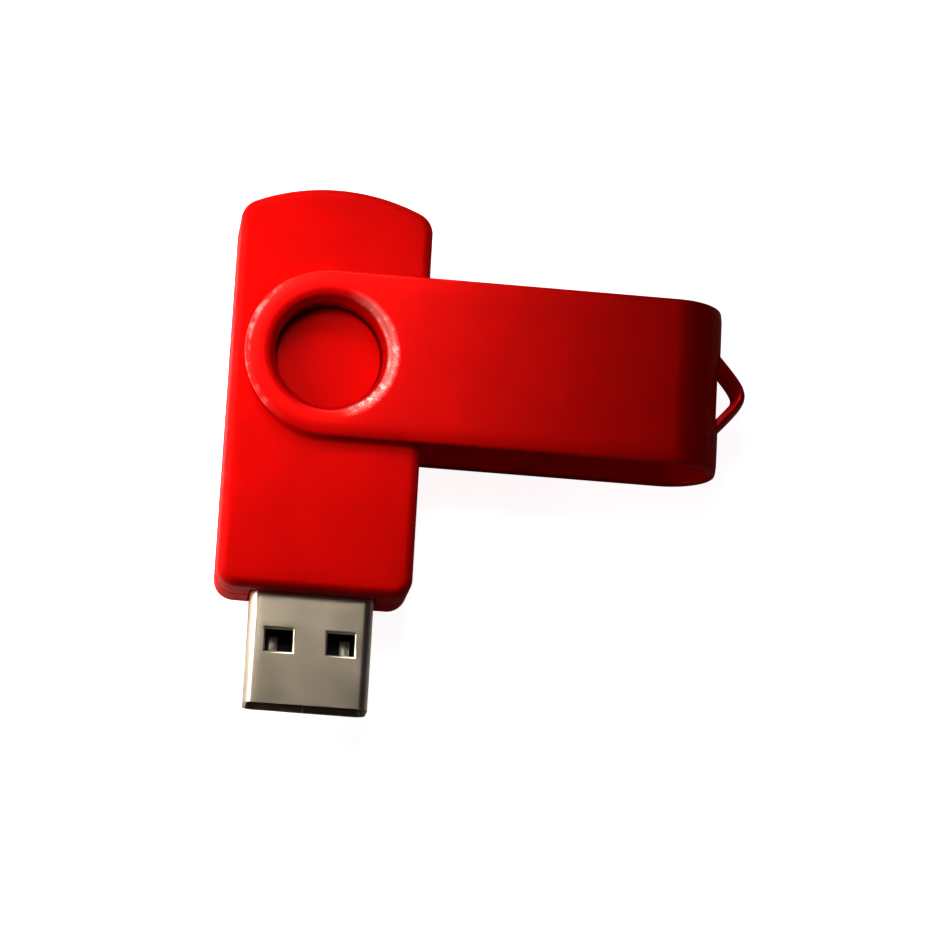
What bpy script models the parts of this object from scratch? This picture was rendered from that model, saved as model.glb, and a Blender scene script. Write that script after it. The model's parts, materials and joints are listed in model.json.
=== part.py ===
"""Swivel-cover USB flash drive, modelled in metres with +Z up.

The drive lies flat on the lower arm of its sheet-metal cover, with the cover
swung square to the body. X runs from the pivot to the cover's closed end, and
Y runs from the plug to the arched end of the body. The origin is at the middle
of the footprint, on the surface that the drive lies on.

Every size below is in millimetres times MM, so it is stored in metres.
"""
from math import acos, atan2, cos, hypot, pi, radians, sin, sqrt

import bmesh
import bpy
from mathutils import Matrix, Vector

MM = 0.001

# Clearance that separate pieces keep from each other.
GAP = 0.3 * MM

# Swivel cover: one strip of sheet metal folded into a U.
COVER_HEIGHT = 10.3 * MM
COVER_WIDTH = 16.7 * MM
COVER_REACH = 39.2 * MM
SHEET = 0.8 * MM
BEND_RADIUS = 5.1 * MM
HOLE_RADIUS = 5.3 * MM
ROLL_RADIUS = 1.75 * MM
COLLAR_DEPTH = 2.9 * MM

# Cord loop lanced out of the cover's end wall.
LOOP_PROJECTION = 2.6 * MM
LOOP_HALF_LENGTH = 3.65 * MM
LOOP_HEIGHT = 3.9 * MM
LOOP_TIP_ROUNDING = 0.16
LOOP_SLIT = 0.3 * MM

# Body: two moulded shells that meet at mid height.
BODY_WIDTH = 19.0 * MM
BODY_FRONT = 23.7 * MM
BODY_BACK = 17.1 * MM
BACK_ARC_RADIUS = 20.0 * MM
FRONT_CORNER_RADIUS = 2.0 * MM
BACK_CORNER_RADIUS = 2.2 * MM
EDGE_ROUNDING = 1.0 * MM
WALL = 1.2 * MM
HUB_WALL = 0.8 * MM
HUB_SURROUND = 1.6 * MM
HUB_DISC_DEPTH = 2.6 * MM

# Locating pin and socket that join the two shells behind the hub.
BOSS_X = 6.3 * MM
BOSS_Y = 11.2 * MM
BOSS_RADIUS = 1.5 * MM
PIN_RADIUS = 0.6 * MM
PIN_LENGTH = 1.4 * MM

# Plug: a standard type A shell, 12 mm by 4.5 mm.
PLUG_WIDTH = 12.0 * MM
PLUG_HEIGHT = 4.5 * MM
PLUG_SHEET = 0.3 * MM
PLUG_CORNER_RADIUS = 1.0 * MM
PLUG_EXPOSED = 10.9 * MM
PLUG_LENGTH = 18.0 * MM
WINDOW_LENGTH = 2.1 * MM
WINDOW_WIDTH = 2.6 * MM
WINDOW_X = 3.0 * MM
WINDOW_FROM_TIP = 6.2 * MM

# Contacts on the tongue: place across the plug, and setback from its tip. The
# power pair reaches further forward than the data pair, so it connects first.
CONTACT_PLACES = {
    "contact_power": (3.5 * MM, 1.5 * MM),
    "contact_data_minus": (1.0 * MM, 2.5 * MM),
    "contact_data_plus": (-1.0 * MM, 2.5 * MM),
    "contact_ground": (-3.5 * MM, 1.5 * MM),
}
CONTACT_WIDTH = 1.0 * MM
CONTACT_THICKNESS = 0.25 * MM
CONTACT_NOSE = 0.9 * MM
CONTACT_DIP_SHARE = 0.6
CONTACT_OVERLAP = 1.5 * MM

# Plastic insert that carries the contacts inside the plug.
INSERT_SETBACK = 0.6 * MM
INSERT_CHEEK = 0.7 * MM
INSERT_CHEEK_LENGTH = 5.4 * MM

# Circuit board and the parts soldered to it.
BOARD_WIDTH = 13.6 * MM
BOARD_THICKNESS = 0.6 * MM
BOARD_BACK = 9.2 * MM
CHIP_EDGE = 0.12 * MM
FLASH_SIZE = (12.0 * MM, 18.4 * MM, 0.8 * MM)
CONTROLLER_SIZE = (6.0 * MM, 6.0 * MM, 0.85 * MM)
CRYSTAL_SIZE = (3.2 * MM, 1.5 * MM, 0.8 * MM)
BEAD_SIZE = (1.6 * MM, 0.8 * MM, 0.8 * MM)
CAPACITOR_SIZE = (1.0 * MM, 0.5 * MM, 0.5 * MM)
RESISTOR_SIZE = (1.0 * MM, 0.5 * MM, 0.35 * MM)
SMALL_PART_COUNT = 4
SMALL_PART_PITCH = 1.5 * MM
CRYSTAL_X = 3.4 * MM
BEAD_X = -5.2 * MM
RESISTOR_X = 5.0 * MM

# Facets of the round stretches.
ROUND_FACETS = 40
ROLL_FACETS = 3
CORNER_FACETS = 4
ARC_FACETS = 12
BOSS_FACETS = 16
PLUG_CORNER_FACETS = 3
EIGHTH = ROUND_FACETS // 8
EDGE_FACETS = 3

# Heights and places worked out from the sizes above.
MID_HEIGHT = COVER_HEIGHT / 2
BODY_HALF = MID_HEIGHT - SHEET - GAP
SEAM_HALF = GAP / 2
HUB_DISC_HALF = MID_HEIGHT - HUB_DISC_DEPTH
GROOVE_FLOOR_HALF = MID_HEIGHT - COLLAR_DEPTH - GAP
HUB_DISC_RADIUS = HOLE_RADIUS - GAP
GROOVE_RADIUS = HOLE_RADIUS + ROLL_RADIUS - GAP
HUB_BOSS_RADIUS = GROOVE_RADIUS + HUB_SURROUND
HUB_CEILING_HALF = GROOVE_FLOOR_HALF - HUB_WALL
BOARD_TOP = MID_HEIGHT - HUB_CEILING_HALF + GAP + BOARD_THICKNESS
BOARD_BOTTOM = BOARD_TOP - BOARD_THICKNESS
PLUG_TIP = -(BODY_FRONT + PLUG_EXPOSED)
PLUG_REAR = PLUG_TIP + PLUG_LENGTH
INSERT_REAR = PLUG_REAR - GAP
BOARD_FRONT = PLUG_REAR + GAP
FLASH_FRONT = BOARD_FRONT + CONTACT_OVERLAP + 3 * GAP
PIVOT_X = -(COVER_REACH + LOOP_PROJECTION - BODY_WIDTH / 2) / 2
PIVOT_Y = (BODY_FRONT + PLUG_EXPOSED - BODY_BACK) / 2
FOLD_OVER = Matrix.Rotation(pi, 4, "Y")

BODY_RED = (0.72, 0.006, 0.003, 1.0)
COVER_RED = (0.60, 0.006, 0.006, 1.0)
NICKEL = (0.60, 0.56, 0.50, 1.0)
CONTACT_GOLD = (0.83, 0.62, 0.28, 1.0)
INSERT_BLACK = (0.015, 0.015, 0.017, 1.0)
BOARD_GREEN = (0.012, 0.12, 0.045, 1.0)
CHIP_BLACK = (0.02, 0.02, 0.022, 1.0)
CAN_STEEL = (0.62, 0.62, 0.60, 1.0)
CERAMIC_TAN = (0.42, 0.27, 0.14, 1.0)
BEAD_GREY = (0.10, 0.10, 0.11, 1.0)


def clear_scene():
    for item in list(bpy.data.objects):
        bpy.data.objects.remove(item, do_unlink=True)


def add_empty(name, place, parent=None):
    empty = bpy.data.objects.new(name, None)
    empty.location = place
    empty.parent = parent
    empty.empty_display_size = 5 * MM
    bpy.context.collection.objects.link(empty)
    return empty


def surface_material(name, colour, roughness, metallic=0.0):
    material = bpy.data.materials.new(name)
    material.use_nodes = True
    shader = material.node_tree.nodes["Principled BSDF"]
    shader.inputs["Base Color"].default_value = colour
    shader.inputs["Roughness"].default_value = roughness
    shader.inputs["Metallic"].default_value = metallic
    return material


def add_object(name, mesh_builder, parent=None, material=None):
    """Turn a filled BMesh into an object, shaded smooth between its creases."""
    mesh = bpy.data.meshes.new(name)
    mesh_builder.to_mesh(mesh)
    mesh_builder.free()
    mesh.shade_smooth()
    mesh.set_sharp_from_angle(angle=radians(35))
    item = bpy.data.objects.new(name, mesh)
    item.parent = parent
    bpy.context.collection.objects.link(item)
    if material:
        mesh.materials.append(material)
    return item


def as_cutter(item):
    item.hide_render = True
    item.display_type = "WIRE"
    return item


def combine(item, other, operation):
    """Join or cut one object with another, which stays as a hidden guide."""
    modifier = item.modifiers.new(operation.lower() + "_" + other.name, "BOOLEAN")
    modifier.operation = operation
    modifier.solver = "EXACT"
    modifier.object = as_cutter(other)


def box_bmesh(low, high):
    builder = bmesh.new()
    middle = (Vector(low) + Vector(high)) / 2
    size = Vector(high) - Vector(low)
    matrix = Matrix.Translation(middle) @ Matrix.Diagonal((*size, 1.0))
    bmesh.ops.create_cube(builder, size=1.0, matrix=matrix)
    return builder


def cylinder_bmesh(radius, low, high, centre=(0.0, 0.0), facets=ROUND_FACETS):
    builder = bmesh.new()
    place = Matrix.Translation((*centre, (low + high) / 2))
    bmesh.ops.create_cone(
        builder, cap_ends=True, segments=facets, radius1=radius, radius2=radius,
        depth=high - low, matrix=place)
    return builder


def lofted_bmesh(rings):
    """Close a stack of equal rings of points into one solid."""
    builder = bmesh.new()
    loops = []
    for ring in rings:
        loops.append([builder.verts.new(point) for point in ring])
    count = len(loops[0])
    for lower, upper in zip(loops, loops[1:]):
        for index in range(count):
            following = (index + 1) % count
            builder.faces.new(
                (lower[index], lower[following], upper[following], upper[index]))
    builder.faces.new(reversed(loops[0]))
    builder.faces.new(loops[-1])
    return builder


def arc_points(centre, radius, start, end, facets):
    points = []
    for step in range(facets + 1):
        angle = start + (end - start) * step / facets
        points.append((centre[0] + radius * cos(angle), centre[1] + radius * sin(angle)))
    return points


def body_outline(inset):
    """Plan outline of the body, moved inwards by an inset, anticlockwise."""
    half = BODY_WIDTH / 2 - inset
    front = -BODY_FRONT + inset
    front_radius = max(FRONT_CORNER_RADIUS - inset, GAP)
    back_radius = max(BACK_CORNER_RADIUS - inset, GAP)
    arc_radius = BACK_ARC_RADIUS - inset
    arc_centre = BODY_BACK - BACK_ARC_RADIUS
    corner_x = half - back_radius
    corner_rise = sqrt((arc_radius - back_radius) ** 2 - corner_x ** 2)
    corner_y = arc_centre + corner_rise
    turn = atan2(corner_rise, corner_x)
    front_x = half - front_radius
    front_y = front + front_radius
    points = arc_points((-front_x, front_y), front_radius, pi, 1.5 * pi, CORNER_FACETS)
    points += arc_points((front_x, front_y), front_radius, -pi / 2, 0, CORNER_FACETS)
    points += arc_points((corner_x, corner_y), back_radius, 0, turn, CORNER_FACETS)
    points += arc_points((0, arc_centre), arc_radius, turn, pi - turn, ARC_FACETS)[1:-1]
    points += arc_points((-corner_x, corner_y), back_radius, pi - turn, pi, CORNER_FACETS)
    return points


def outline_ring(inset, height):
    return [(x, y, height) for x, y in body_outline(inset)]


def shell_block():
    """Half of the body as a solid block, rounded where the side meets the face."""
    rings = [outline_ring(0.0, SEAM_HALF)]
    for step in range(EDGE_FACETS + 1):
        angle = pi / 2 * step / EDGE_FACETS
        inset = EDGE_ROUNDING * (1 - cos(angle))
        height = BODY_HALF - EDGE_ROUNDING * (1 - sin(angle))
        rings.append(outline_ring(inset, height))
    return lofted_bmesh(rings)


def cavity_block():
    """Space for the board, left solid over the hub and at the two bosses."""
    rings = [outline_ring(WALL, -BODY_HALF), outline_ring(WALL, BODY_HALF - WALL)]
    return lofted_bmesh(rings)


def hub_cut_bmesh():
    """Recess over the hub disc with a ring groove round it for the collar."""
    builder = bmesh.new()
    above = BODY_HALF + WALL
    profile = [
        (HUB_DISC_RADIUS, HUB_DISC_HALF),
        (HUB_DISC_RADIUS, GROOVE_FLOOR_HALF),
        (GROOVE_RADIUS, GROOVE_FLOOR_HALF),
        (GROOVE_RADIUS, above),
    ]
    rings = []
    for radius, height in profile:
        circle = arc_points((0, 0), radius, 0, 2 * pi, ROUND_FACETS)[:-1]
        rings.append([builder.verts.new((x, y, height)) for x, y in circle])
    for lower, upper in zip(rings, rings[1:]):
        for index in range(ROUND_FACETS):
            following = (index + 1) % ROUND_FACETS
            builder.faces.new(
                (lower[index], lower[following], upper[following], upper[index]))
    builder.faces.new(reversed(rings[0]))
    builder.faces.new(rings[-1])
    bmesh.ops.recalc_face_normals(builder, faces=builder.faces)
    return builder


def build_shell(name, parent, material, turn=None):
    """One body shell. The lower one is the upper one turned over about Y."""

    def place(builder):
        if turn:
            bmesh.ops.transform(builder, matrix=turn, verts=builder.verts)
        return builder

    shell = add_object(name, place(shell_block()), parent, material)
    cavity = add_object(name + "_cavity", place(cavity_block()), parent)
    hub_low = HUB_CEILING_HALF
    boss_high = BODY_HALF + WALL
    hub = add_object(
        name + "_hub_keep", place(cylinder_bmesh(HUB_BOSS_RADIUS, hub_low, boss_high)), parent)
    combine(cavity, hub, "DIFFERENCE")
    for side, tag in ((1, "pin_boss"), (-1, "socket_boss")):
        boss = cylinder_bmesh(
            BOSS_RADIUS, SEAM_HALF, boss_high, (side * BOSS_X, BOSS_Y), BOSS_FACETS)
        combine(cavity, add_object(f"{name}_{tag}", place(boss), parent), "DIFFERENCE")
    combine(shell, cavity, "DIFFERENCE")
    hub_cut = add_object(name + "_hub_cut", place(hub_cut_bmesh()), parent)
    combine(shell, hub_cut, "DIFFERENCE")
    mouth_x = PLUG_WIDTH / 2 + GAP
    mouth = box_bmesh(
        (-mouth_x, -BODY_FRONT - WALL, -PLUG_HEIGHT),
        (mouth_x, -BODY_FRONT + 2 * WALL, PLUG_HEIGHT / 2 + GAP))
    combine(shell, add_object(name + "_mouth", place(mouth), parent), "DIFFERENCE")
    pin = cylinder_bmesh(
        PIN_RADIUS, -PIN_LENGTH, WALL, (BOSS_X, BOSS_Y), BOSS_FACETS)
    combine(shell, add_object(name + "_pin", place(pin), parent), "UNION")
    socket = cylinder_bmesh(
        PIN_RADIUS + GAP, -WALL, PIN_LENGTH + 2 * GAP, (-BOSS_X, BOSS_Y), BOSS_FACETS)
    combine(shell, add_object(name + "_socket", place(socket), parent), "DIFFERENCE")
    return shell


def hub_profile():
    """Radius and drop of the sheet's middle from the collar's end to the flat."""
    collar = HOLE_RADIUS + SHEET / 2
    roll = ROLL_RADIUS - SHEET / 2
    profile = [(collar, COLLAR_DEPTH - SHEET / 2)]
    for step in range(ROLL_FACETS + 1):
        angle = pi / 2 * step / ROLL_FACETS
        profile.append((collar + roll * (1 - cos(angle)), roll * (1 - sin(angle))))
    return profile


def arm_edge_point(index):
    """Point of the arm's rim at an angle: a half round, then a square end."""
    angle = 2 * pi * index / ROUND_FACETS
    half = COVER_WIDTH / 2
    x, y = cos(angle), sin(angle)
    if x < 0:
        return (half * x, half * y)
    reach = max(abs(x), abs(y))
    return (half * x / reach, half * y / reach)


def arm_rings(builder, flat_height, down):
    """Rolled hub ring of one arm. Returns the outer ring of vertices."""
    rings = []
    for radius, drop in hub_profile():
        circle = arc_points((0, 0), radius, 0, 2 * pi, ROUND_FACETS)[:-1]
        rings.append([builder.verts.new((x, y, flat_height + down * drop)) for x, y in circle])
    edge = [arm_edge_point(index) for index in range(ROUND_FACETS)]
    rings.append([builder.verts.new((x, y, flat_height)) for x, y in edge])
    for inner, outer in zip(rings, rings[1:]):
        for index in range(ROUND_FACETS):
            following = (index + 1) % ROUND_FACETS
            builder.faces.new(
                (inner[index], inner[following], outer[following], outer[index]))
    return rings[-1]


def loop_offset(across):
    """How far the lanced strip stands out of the end wall at a place across it."""
    share = abs(across) / LOOP_HALF_LENGTH
    rounding = LOOP_TIP_ROUNDING
    fall = (hypot(share, rounding) - rounding) / (hypot(1, rounding) - rounding)
    return LOOP_PROJECTION * max(0.0, 1 - fall)


def bend_angles():
    """Angles of the fold's facets. The last but one meets the loop's slit."""
    radius = BEND_RADIUS - SHEET / 2
    slit = acos((MID_HEIGHT + LOOP_HEIGHT / 2 - (COVER_HEIGHT - BEND_RADIUS)) / radius)
    return [0.0, slit / 3, slit * 2 / 3, slit, pi / 2]


def fold_path():
    """Middle of the sheet round the fold, as x and z, from top to bottom."""
    radius = BEND_RADIUS - SHEET / 2
    centre_x = COVER_REACH - BEND_RADIUS
    upper = []
    for angle in bend_angles():
        height = COVER_HEIGHT - BEND_RADIUS + radius * cos(angle)
        upper.append((centre_x + radius * sin(angle), height))
    lower = [(x, COVER_HEIGHT - z) for x, z in reversed(upper)]
    return upper + lower


def fold_columns():
    """Places across the strip, with a column at each end of the loop."""
    loop_columns = EIGHTH - 2
    places = []
    for index in range(-EIGHTH, EIGHTH + 1):
        size = abs(index)
        if size <= loop_columns:
            place = LOOP_HALF_LENGTH * size / loop_columns
        else:
            share = (size - loop_columns) / (EIGHTH - loop_columns)
            place = LOOP_HALF_LENGTH + share * (COVER_WIDTH / 2 - LOOP_HALF_LENGTH)
        places.append(place if index > 0 else -place)
    return places


def square_end(ring):
    """Vertices of an arm's ring along its square end, from -Y to +Y."""
    return [ring[index % ROUND_FACETS] for index in range(-EIGHTH, EIGHTH + 1)]


def cover_surface():
    """Middle surface of the folded sheet, with the loop's strip pushed out."""
    builder = bmesh.new()
    top = arm_rings(builder, COVER_HEIGHT - SHEET / 2, -1)
    bottom = arm_rings(builder, SHEET / 2, 1)
    path = fold_path()
    slits = (len(bend_angles()) - 2, len(path) - len(bend_angles()) + 1)
    places = fold_columns()
    wall_rows = []
    strip_rows = []
    for row, (x, z) in enumerate(path):
        wall = []
        strip = []
        for place in places:
            offset = loop_offset(place)
            inside = slits[0] <= row <= slits[1] and offset > 0
            on_slit = row in slits and offset > 0
            lift = 0.0
            if on_slit:
                lift = LOOP_SLIT / 2 if row == slits[0] else -LOOP_SLIT / 2
            wall.append(None if inside and not on_slit
                        else builder.verts.new((x, place, z + lift)))
            strip.append(builder.verts.new((x + offset, place, z - lift)) if inside else wall[-1])
        wall_rows.append(wall)
        strip_rows.append(strip)
    top_row = square_end(top)
    bottom_row = square_end(bottom)
    wall_rows = [top_row] + wall_rows + [bottom_row]
    strip_rows = [top_row] + strip_rows + [bottom_row]
    for row in range(len(wall_rows) - 1):
        in_strip = slits[0] + 1 <= row < slits[1] + 1
        for column in range(len(places) - 1):
            middle = (places[column] + places[column + 1]) / 2
            rows = strip_rows if in_strip and loop_offset(middle) > 0 else wall_rows
            builder.faces.new(
                (rows[row][column], rows[row][column + 1],
                 rows[row + 1][column + 1], rows[row + 1][column]))
    bmesh.ops.recalc_face_normals(builder, faces=builder.faces)
    return builder


def thicken(item, thickness):
    modifier = item.modifiers.new("sheet", "SOLIDIFY")
    modifier.thickness = thickness
    modifier.offset = 0.0
    modifier.use_even_offset = True


def build_cover(parent):
    material = surface_material("painted_metal", COVER_RED, 0.3)
    cover = add_object("swivel_cover", cover_surface(), parent, material)
    thicken(cover, SHEET)
    return cover


def plug_section():
    """Middle of the plug's sheet round its section, as x and height."""
    half_x = (PLUG_WIDTH - PLUG_SHEET) / 2
    half_z = (PLUG_HEIGHT - PLUG_SHEET) / 2
    radius = PLUG_CORNER_RADIUS - PLUG_SHEET / 2
    corners = ((1, 1, 0), (-1, 1, 1), (-1, -1, 2), (1, -1, 3))
    edge = WINDOW_WIDTH / 2
    window_lines = (WINDOW_X + edge, WINDOW_X - edge, -WINDOW_X + edge, -WINDOW_X - edge)
    points = []
    for side_x, side_z, quarter in corners:
        centre = (side_x * (half_x - radius), side_z * (half_z - radius))
        start = quarter * pi / 2
        points += arc_points(centre, radius, start, start + pi / 2, PLUG_CORNER_FACETS)
        if quarter == 0:
            points += [(x, half_z) for x in window_lines]
        if quarter == 2:
            points += [(-x, -half_z) for x in window_lines]
    return points


def in_window(x_middle, y_middle):
    near_x = abs(abs(x_middle) - WINDOW_X) < WINDOW_WIDTH / 2
    near_y = abs(y_middle - PLUG_TIP - WINDOW_FROM_TIP) < WINDOW_LENGTH / 2
    return near_x and near_y


def build_plug_shell(parent):
    """Folded sheet tube with two square windows in each wide face."""
    builder = bmesh.new()
    window_middle = PLUG_TIP + WINDOW_FROM_TIP
    stations = (
        PLUG_TIP, window_middle - WINDOW_LENGTH / 2, window_middle + WINDOW_LENGTH / 2, PLUG_REAR)
    section = plug_section()
    rings = []
    for y in stations:
        rings.append([builder.verts.new((x, y, z)) for x, z in section])
    for row in range(len(stations) - 1):
        y_middle = (stations[row] + stations[row + 1]) / 2
        for index, (x, z) in enumerate(section):
            following = (index + 1) % len(section)
            wide_face = z == section[following][1]
            x_middle = (x + section[following][0]) / 2
            if wide_face and in_window(x_middle, y_middle):
                continue
            builder.faces.new(
                (rings[row][index], rings[row][following],
                 rings[row + 1][following], rings[row + 1][index]))
    bmesh.ops.recalc_face_normals(builder, faces=builder.faces)
    material = surface_material("nickel", NICKEL, 0.3, 1.0)
    shell = add_object("plug_shell", builder, parent, material)
    shell.location.z = MID_HEIGHT
    thicken(shell, PLUG_SHEET)
    return shell


def build_insert(parent):
    """Tongue under the contacts, with a cheek on each side at its rear."""
    material = surface_material("insert_plastic", INSERT_BLACK, 0.5)
    half = PLUG_WIDTH / 2 - PLUG_SHEET - GAP
    low = MID_HEIGHT - PLUG_HEIGHT / 2 + PLUG_SHEET + GAP
    high = MID_HEIGHT + PLUG_HEIGHT / 2 - PLUG_SHEET - GAP
    front = PLUG_TIP + INSERT_SETBACK
    tongue = box_bmesh((-half, front, low), (half, INSERT_REAR, BOARD_TOP))
    insert = add_object("plug_insert", tongue, parent, material)
    for side, tag in ((1, "right"), (-1, "left")):
        inner = side * (half - INSERT_CHEEK)
        outer = side * half
        cheek = box_bmesh(
            (min(inner, outer), INSERT_REAR - INSERT_CHEEK_LENGTH, low),
            (max(inner, outer), INSERT_REAR, high))
        combine(insert, add_object("insert_cheek_" + tag, cheek, parent), "UNION")
    return insert


def build_contact(name, place, parent, material):
    """Flat strip over the tongue, its nose bent down and its tail on the board."""
    centre_x, setback = place
    low = BOARD_TOP + GAP
    high = low + CONTACT_THICKNESS
    nose = PLUG_TIP + setback
    tail = BOARD_FRONT + CONTACT_OVERLAP
    dip = CONTACT_THICKNESS * CONTACT_DIP_SHARE
    side_view = [
        (nose, low - dip), (nose + CONTACT_NOSE, low), (tail, low),
        (tail, high), (nose + CONTACT_NOSE, high), (nose, high - dip),
    ]
    rings = []
    for x in (centre_x - CONTACT_WIDTH / 2, centre_x + CONTACT_WIDTH / 2):
        rings.append([(x, y, z) for y, z in side_view])
    return add_object(name, lofted_bmesh(rings), parent, material)


def build_contacts(parent):
    material = surface_material("contact_gold", CONTACT_GOLD, 0.25, 1.0)
    for name, place in CONTACT_PLACES.items():
        build_contact(name, place, parent, material.copy())


def build_board(parent):
    material = surface_material("board_laminate", BOARD_GREEN, 0.4)
    half = BOARD_WIDTH / 2
    board = box_bmesh((-half, BOARD_FRONT, BOARD_BOTTOM), (half, BOARD_BACK, BOARD_TOP))
    return add_object("circuit_board", board, parent, material)


def build_chip(name, size, place, colour, parent, roughness=0.45, metallic=0.0, below=False):
    """A soldered part over the board, or under it, with a small edge chamfer."""
    width, length, height = size
    low = BOARD_BOTTOM - GAP - height if below else BOARD_TOP + GAP
    builder = box_bmesh((-width / 2, -length / 2, 0), (width / 2, length / 2, height))
    bmesh.ops.bevel(
        builder, geom=builder.edges[:], offset=CHIP_EDGE, segments=1, affect="EDGES")
    material = surface_material(name + "_finish", colour, roughness, metallic)
    chip = add_object(name, builder, parent, material)
    chip.location = (place[0], place[1], low)
    return chip


def build_board_parts(parent):
    flash_y = FLASH_FRONT + FLASH_SIZE[1] / 2
    build_chip("flash_memory", FLASH_SIZE, (0, flash_y), CHIP_BLACK, parent)
    controller_y = BOARD_FRONT + CONTACT_OVERLAP + CONTROLLER_SIZE[1] / 2
    build_chip(
        "controller_chip", CONTROLLER_SIZE, (0, controller_y), CHIP_BLACK, parent, below=True)
    rear_row = BOARD_BACK - CRYSTAL_SIZE[1]
    build_chip("crystal", CRYSTAL_SIZE, (CRYSTAL_X, rear_row), CAN_STEEL, parent, 0.3, 1.0)
    build_chip("ferrite_bead", BEAD_SIZE, (BEAD_X, rear_row), BEAD_GREY, parent, 0.6)
    for index in range(SMALL_PART_COUNT):
        number = index + 1
        middle = (SMALL_PART_COUNT - 1) / 2
        upper = ((index - middle) * SMALL_PART_PITCH, rear_row - SMALL_PART_PITCH)
        build_chip(f"capacitor_{number}", CAPACITOR_SIZE, upper, CERAMIC_TAN, parent, 0.5)
        side = RESISTOR_X if index % 2 else -RESISTOR_X
        lower = (side, controller_y + (index // 2 - 0.5) * 2 * SMALL_PART_PITCH)
        build_chip(
            f"resistor_{number}", RESISTOR_SIZE, lower, CHIP_BLACK, parent, 0.5, below=True)


def build_body(pivot):
    """Both shells, and what cuts them, hang from an empty at the seam's height."""
    seam = add_empty("seam_level", (0.0, 0.0, MID_HEIGHT), pivot)
    plastic = surface_material("body_plastic", BODY_RED, 0.45)
    build_shell("upper_shell", seam, plastic)
    build_shell("lower_shell", seam, plastic.copy(), FOLD_OVER)


def build_drive():
    clear_scene()
    body = add_empty("drive_frame", (PIVOT_X, PIVOT_Y, 0.0))
    build_body(body)
    build_plug_shell(body)
    build_insert(body)
    build_contacts(body)
    build_board(body)
    build_board_parts(body)
    swivel = add_empty("cover_pivot", (0.0, 0.0, 0.0), body)
    build_cover(swivel)


build_drive()
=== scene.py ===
"""Looks of the swivel-cover flash drive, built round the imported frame.

Everything is in metres, in the frame's own axes: +X from the pivot to the
cover's closed end, +Y from the plug to the arched end of the body, +Z up. Each
piece is made about the pivot, at table height, and is then moved to it.
"""
import json
from math import acos, atan2, cos, hypot, pi, radians, sin, sqrt

import bmesh
import bpy
from mathutils import Matrix, Vector


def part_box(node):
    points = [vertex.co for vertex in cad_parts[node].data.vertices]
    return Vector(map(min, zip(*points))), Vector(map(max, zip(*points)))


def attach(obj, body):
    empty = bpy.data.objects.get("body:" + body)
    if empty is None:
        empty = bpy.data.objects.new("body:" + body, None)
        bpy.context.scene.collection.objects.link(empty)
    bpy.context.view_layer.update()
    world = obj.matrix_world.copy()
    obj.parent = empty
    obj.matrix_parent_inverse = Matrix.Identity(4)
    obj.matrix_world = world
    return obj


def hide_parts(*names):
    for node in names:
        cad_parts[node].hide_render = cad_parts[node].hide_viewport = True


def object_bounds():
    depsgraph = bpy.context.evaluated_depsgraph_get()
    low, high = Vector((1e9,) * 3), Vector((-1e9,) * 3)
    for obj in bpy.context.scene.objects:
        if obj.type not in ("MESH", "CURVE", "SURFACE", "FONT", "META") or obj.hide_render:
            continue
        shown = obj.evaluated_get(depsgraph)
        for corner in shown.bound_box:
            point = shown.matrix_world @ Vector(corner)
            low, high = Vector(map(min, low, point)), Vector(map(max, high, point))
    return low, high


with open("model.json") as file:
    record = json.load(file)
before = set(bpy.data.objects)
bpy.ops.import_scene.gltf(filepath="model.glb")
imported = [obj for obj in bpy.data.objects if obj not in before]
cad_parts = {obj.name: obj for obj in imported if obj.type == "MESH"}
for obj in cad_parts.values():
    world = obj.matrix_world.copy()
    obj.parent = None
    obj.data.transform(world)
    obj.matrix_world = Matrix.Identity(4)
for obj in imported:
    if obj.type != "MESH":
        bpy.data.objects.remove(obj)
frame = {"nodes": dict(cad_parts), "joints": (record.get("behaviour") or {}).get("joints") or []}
cad_low, cad_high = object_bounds()

MM = 0.001

# Places read from the frame, relative to the pivot and to the table.
PIVOT = Vector(frame["joints"][0]["pos_m"])
PIVOT.z = 0.0


def span(node):
    low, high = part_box(node)
    return low - PIVOT, high - PIVOT


COVER_LOW, COVER_HIGH = span("swivel_cover")
UPPER_LOW, UPPER_HIGH = span("upper_shell")
PLUG_LOW, PLUG_HIGH = span("plug_shell")
INSERT_LOW, INSERT_HIGH = span("plug_insert")

COVER_HEIGHT = COVER_HIGH.z - COVER_LOW.z
COVER_HALF = COVER_HIGH.y
MID_HEIGHT = COVER_HEIGHT / 2
BODY_HALF = UPPER_HIGH.z - MID_HEIGHT
BODY_HALF_WIDTH = UPPER_HIGH.x
BODY_FRONT = -UPPER_LOW.y
BODY_BACK = UPPER_HIGH.y

# Swivel cover.
SHEET = 0.8 * MM
BEND_RADIUS = 5.1 * MM
HOLE_RADIUS = 5.3 * MM
ROLL_RADIUS = 1.75 * MM
ROLL_SQUARENESS = 0.54
COLLAR_DEPTH = 2.9 * MM
RIM_DROOP = 0.14 * MM
RIM_DROOP_WIDTH = 1.3 * MM
SHEET_ROUNDING = 0.24 * MM
ARM_SHARES = (0.2, 0.4, 0.6, 0.75, 1.0)
LOOP_PROJECTION = 2.6 * MM
LOOP_HALF_LENGTH = 3.65 * MM
LOOP_HEIGHT = 3.9 * MM
LOOP_TIP_ROUNDING = 0.28
LOOP_SLIT = 0.12 * MM
COVER_REACH = COVER_HIGH.x - LOOP_PROJECTION

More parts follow.
